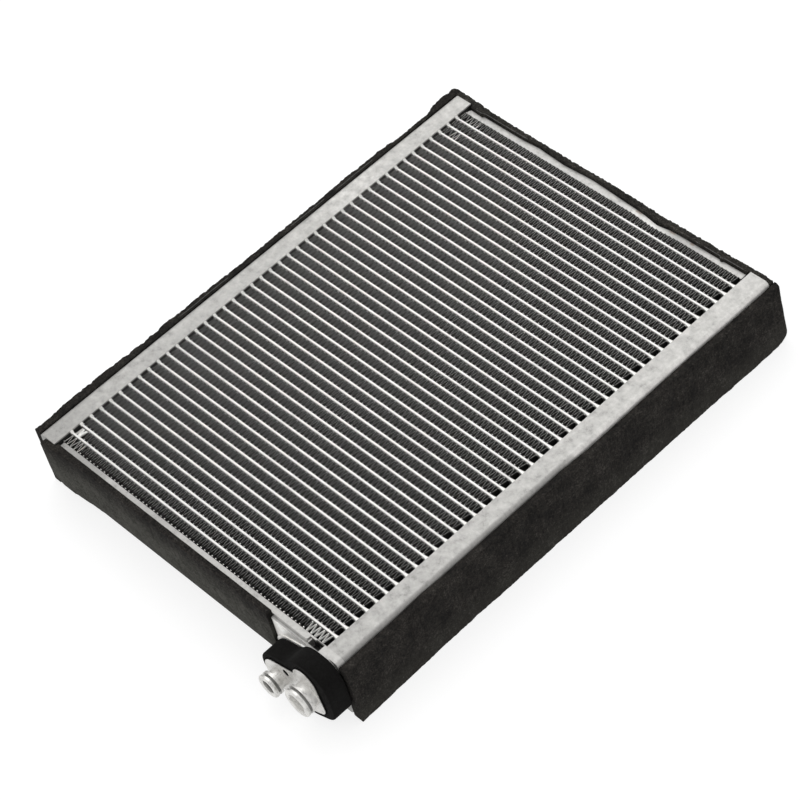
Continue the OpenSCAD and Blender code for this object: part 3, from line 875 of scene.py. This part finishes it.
def far_section(x, low, high):
    """Far strip: it follows the far plate's wavy edge inside, and its own cut outside."""
    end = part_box("far_side_plate")[1].x
    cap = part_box("left_far_cap")[1].y + 0.1 * MM
    inner = cap if abs(x) > end else far_edge(x) + (0.25 + 0.15 * wobble(x, 0, 0, 5 * MM, 2)) * MM
    ragged = 0.4 * wobble(x, 0, 0, 5 * MM, 9) + 0.6 * wobble(x, 0, 0, 1.7 * MM, 4)
    outer = high.y - max(0, piecewise(FAR_CUT, x / MM) + ragged) * MM
    drop = FAR_DROP * min(1, max(0, (x - FAR_DROP_FROM) / FAR_DROP_LENGTH))
    top = high.z - drop - 0.25 * MM * (1 + wobble(x, 1, 0, 4 * MM))
    return inner, outer, outer, low.z, top


def near_section(x, low, high):
    """Near strip: lower at its rounded left end, and drawn in towards its foot."""
    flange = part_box("near_side_plate")[0].y - 0.1 * MM
    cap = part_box("left_near_cap")[0].y - 0.1 * MM
    over_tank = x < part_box("near_side_plate")[0].x
    inner = cap if over_tank else flange
    blend = min(1, max(0, (LAP_FROM - x) / LAP_LENGTH))
    outer = flange - NEAR_THICKNESS + (cap - flange) * blend
    outer += (0.3 + 0.25 * wobble(x, 0, 0, 7 * MM, 4) + 0.1 * wobble(x, 0, 0, 2 * MM, 4)) * MM
    outer_low = min(outer + NEAR_SLOPE, inner - 0.2 * MM)
    drop = round_off(x - low.x, NEAR_FOAM_ROUND) * 0.4
    top = high.z - drop - 0.25 * MM * (1 + wobble(x, 1, 0, 5 * MM, 6))
    return inner, outer, outer_low, low.z + 0.5 * MM, top


def far_edge(x):
    """Outer edge of the far plate's flanges, which wave and have one dent."""
    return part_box("far_side_plate")[1].y + piecewise(FAR_WAVE, x / MM) * MM


def far_plate():
    """Far side plate as handled: its flanges wave a little, and it is dented in one place."""
    low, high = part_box("far_side_plate")
    inner, outer = low.y, low.y + PLATE_SHEET
    rings = []
    for x in between(low.x, high.x, PLATE_STATIONS):
        edge = far_edge(x) - round_off(min(x - low.x, high.x - x), FLANGE_ROUND)
        dent = piecewise(DENT, x / MM) * MM
        rings.append(
            [
                (x, inner, low.z),
                (x, edge, low.z),
                (x, edge, low.z + PLATE_SHEET),
                (x, outer, low.z + PLATE_SHEET),
                (x, outer - dent, high.z - PLATE_SHEET),
                (x, edge - dent / 2, high.z - PLATE_SHEET),
                (x, edge - dent / 2, high.z - dent / 4),
                (x, inner - dent, high.z - dent / 4),
            ]
        )
    vertices, faces = loft([list(reversed(ring)) for ring in rings])
    piece = make_piece("far_plate", vertices, faces, ["plate"], ["far_side_plate"])
    smooth(piece, 40)


def left_film(at):
    """Place of the left strip's adhesive film at a distance along the header tank."""
    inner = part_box("left_foam")[1]
    x = inner.x - (1.3 + 0.35 * wobble(at, 0, 0, 12 * MM, 1)) * MM
    return x, at + MIDDLE_Y, inner.z


def far_film(at):
    """Place of the far strip's adhesive film at a distance along the side plate."""
    y = far_edge(at) + (0.45 + 0.15 * wobble(at, 0, 0, 14 * MM, 3)) * MM
    return at, y, cad_high.z - 1 * MM


def foam_film(name, place, stretches, across):
    """Edge of the adhesive film: a thin line in stretches along a foam strip's top.

    across is the direction of the film's thickness in the plane, along X or along Y.
    """
    across_x, across_y = across
    vertices, faces = [], []
    for start, end in stretches:
        rings = []
        for at in between(start * MM, end * MM, round((end - start) / FILM_STEP) + 2):
            x, y, z = place(at)
            ring = []
            for u, v in FILM_PROFILE:
                ring.append((x + u * across_x * MM, y + u * across_y * MM, z + v * MM))
            rings.append(ring if across_x else list(reversed(ring)))
        points, quads = loft(rings)
        faces += [tuple(i + len(vertices) for i in quad) for quad in quads]
        vertices += points
    make_piece(name, vertices, faces, ["film"], [])


def lobe_hull(lobes, grow):
    """Convex outline round circles, as points in millimetres."""
    points = []
    for x, z, r in lobes:
        for k in range(LOBE_STATIONS):
            angle = 2 * math.pi * k / LOBE_STATIONS
            points.append((x + (r + grow) * math.cos(angle), z + (r + grow) * math.sin(angle)))
    return [points[i] for i in convex_hull_2d([Vector(p) for p in points])]


def radial_reach(outline, angle):
    """Distance from the lobes' centre to a convex outline, in a direction."""
    cx, cz = LOBE_CENTRE
    dx, dz = math.cos(angle), math.sin(angle)
    best = 0.0
    for (x0, z0), (x1, z1) in zip(outline, outline[1:] + outline[:1]):
        ex, ez = x1 - x0, z1 - z0
        cross = dx * ez - dz * ex
        if abs(cross) < 1e-9:
            continue
        t = ((x0 - cx) * ez - (z0 - cz) * ex) / cross
        s = ((x0 - cx) * dz - (z0 - cz) * dx) / cross
        if t > 0 and -1e-6 <= s <= 1 + 1e-6:
            best = max(best, t)
    return best


def block_gasket():
    """Foam band round the port block, thicker at the header's corner."""
    low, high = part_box("block_gasket")
    left_lobes = (SMALL_LOBE, WAIST_LOBE)
    inner = [lobe_hull(lobes, 0.1) for lobes in (left_lobes, (TOP_LOBE, SIDE_LOBE, LOW_LOBE))]
    (top_x, top_z, top_r), (side_x, side_z, side_r) = TOP_LOBE, SIDE_LOBE
    bulge = GASKET_BULGE
    right_lobes = (
        TOP_LOBE,
        (top_x + 2 * bulge, top_z + bulge / 2, top_r - bulge / 2),
        (side_x + bulge, side_z + bulge / 3, side_r),
        LOW_LOBE,
    )
    outer = [lobe_hull(lobes, GASKET_THICKNESS) for lobes in (left_lobes, right_lobes)]
    angles = [2 * math.pi * k / GASKET_STATIONS for k in range(GASKET_STATIONS)]
    fars = []
    for angle in angles:
        reaches = [radial_reach(outline, angle) for outline in outer]
        blended = sum(reach**BLEND_POWER for reach in reaches) ** (1 / BLEND_POWER)
        fars.append(blended - GASKET_SHRINK)
    steps = range(-GASKET_NEIGHBOURS, GASKET_NEIGHBOURS + 1)
    rings = []
    for k, angle in enumerate(angles):
        near = max(radial_reach(outline, angle) for outline in inner)
        far = sum(fars[(k + i) % GASKET_STATIONS] for i in steps) / len(steps)
        ring = []
        for u, v in rounded_box_ring(low.y, high.y, near * MM, far * MM, GASKET_ROUND):
            x = LOBE_CENTRE[0] * MM + v * math.cos(angle)
            z = LOBE_CENTRE[1] * MM + v * math.sin(angle)
            ring.append((x, u, z))
        rings.append(ring)
    rings.append(rings[0])
    vertices, faces = loft(rings, closed_ends=False)
    size = len(rings[0])
    last = (len(rings) - 1) * size
    faces = [tuple(i - last if i >= last else i for i in face) for face in faces]
    piece = make_piece(
        "block_gasket_band", vertices[:last], faces, ["gasket"], ["block_gasket"]
    )
    smooth(piece, 50)


def dress_frame():
    """Gives each CAD node that stays the material of its slot."""
    slots = {row["node"]: row["material_slot"] for row in frame["record"]["subparts"]}
    for name, node in frame["nodes"].items():
        node.data.materials.clear()
        node.data.materials.append(MATERIALS[slots[name]])


def stage_material(name, colour, glow):
    """Pale diffuse surface, darker but glowing where the camera or a reflection sees it."""
    material, tree, _ = start_material(name)
    path = add_node(tree, "ShaderNodeLightPath")
    seen = path.outputs["Is Camera Ray"]
    for ray in ("Is Glossy Ray", "Is Transmission Ray"):
        seen = add_node(
            tree, "ShaderNodeMath", {0: seen, 1: path.outputs[ray]}, operation="MAXIMUM"
        ).outputs[0]
    pale = add_node(tree, "ShaderNodeBsdfDiffuse", {"Color": (0.85, 0.85, 0.85, 1)})
    faint = add_node(tree, "ShaderNodeBsdfDiffuse", {"Color": (colour, colour, colour, 1)})
    light = add_node(tree, "ShaderNodeEmission", {"Strength": glow})
    both = add_node(tree, "ShaderNodeAddShader", {0: faint.outputs[0], 1: light.outputs[0]})
    mix = add_node(
        tree, "ShaderNodeMixShader", {0: seen, 1: pale.outputs[0], 2: both.outputs[0]}
    )
    output = add_node(tree, "ShaderNodeOutputMaterial")
    tree.links.new(mix.outputs[0], output.inputs["Surface"])
    return material


def make_floor():
    half = 6.0
    mesh = bpy.data.meshes.new("floor")
    corners = [(-half, -half, 0), (half, -half, 0), (half, half, 0), (-half, half, 0)]
    mesh.from_pydata(corners, [], [(0, 1, 2, 3)])
    mesh.materials.append(stage_material("floor", colour=0.3, glow=0.78))
    floor = bpy.data.objects.new("floor", mesh)
    bpy.context.scene.collection.objects.link(floor)


def make_world():
    world = bpy.data.worlds.new("studio")
    world.use_nodes = True
    tree = world.node_tree
    tree.nodes.clear()
    path = add_node(tree, "ShaderNodeLightPath")
    seen = add_node(
        tree,
        "ShaderNodeMath",
        {0: path.outputs["Is Camera Ray"], 1: path.outputs["Is Glossy Ray"]},
        operation="MAXIMUM",
    )
    dim = add_node(tree, "ShaderNodeBackground", {"Color": (1, 1, 1, 1), "Strength": 0.8})
    white = add_node(tree, "ShaderNodeBackground", {"Color": (1, 1, 1, 1), "Strength": 1.0})
    mix = add_node(
        tree, "ShaderNodeMixShader", {0: seen.outputs[0], 1: dim.outputs[0], 2: white.outputs[0]}
    )
    output = add_node(tree, "ShaderNodeOutputWorld")
    tree.links.new(mix.outputs[0], output.inputs["Surface"])
    bpy.context.scene.world = world


def make_lamp(name, place, aim, size, power):
    lamp = bpy.data.lights.new(name, "AREA")
    lamp.shape = "DISK"
    lamp.size = size
    lamp.energy = power
    lamp_object = bpy.data.objects.new(name, lamp)
    lamp_object.location = place
    direction = Vector(aim) - Vector(place)
    lamp_object.rotation_euler = direction.to_track_quat("-Z", "Y").to_euler()
    bpy.context.scene.collection.objects.link(lamp_object)


def make_camera():
    data = bpy.data.cameras.new("camera")
    data.sensor_width = SENSOR_MM
    data.lens = LENS_MM
    camera = bpy.data.objects.new("camera", data)
    axes = Matrix((CAMERA_RIGHT, CAMERA_UP, tuple(-v for v in CAMERA_AHEAD))).transposed()
    camera.matrix_world = Matrix.Translation(CAMERA_AT) @ axes.to_4x4()
    bpy.context.scene.collection.objects.link(camera)
    bpy.context.scene.camera = camera


bpy.context.scene.view_settings.view_transform = "Standard"
make_camera()
make_world()
make_floor()
make_lamp("key", place=(-0.5, 0.4, 1.4), aim=(0, 0, 0), size=1.1, power=6)

dress_frame()
tubes("front_tubes")
tubes("rear_tubes")
for group, node in enumerate(("fins_near", "fins_mid_near", "fins_mid_far", "fins_far")):
    fins(node, group)
fillets()
seam()
far_plate()
header_foam("left_foam", -1, LEFT_CUT, LEVEL, LEVEL)
header_foam("right_foam", 1, RIGHT_CUT, RIGHT_TOP, RIGHT_FOOT)
edge_foam("far_foam", 1, far_section, "rough_foam")
edge_foam("near_foam", -1, near_section, "dust_and_light_foam")
foam_film("left_foam_film", left_film, ((-52, -18), (28, 52), (62, 88)), (1, 0))
foam_film("far_foam_film", far_film, ((-97, -58), (66, 98)), (0, 1))
block_gasket()
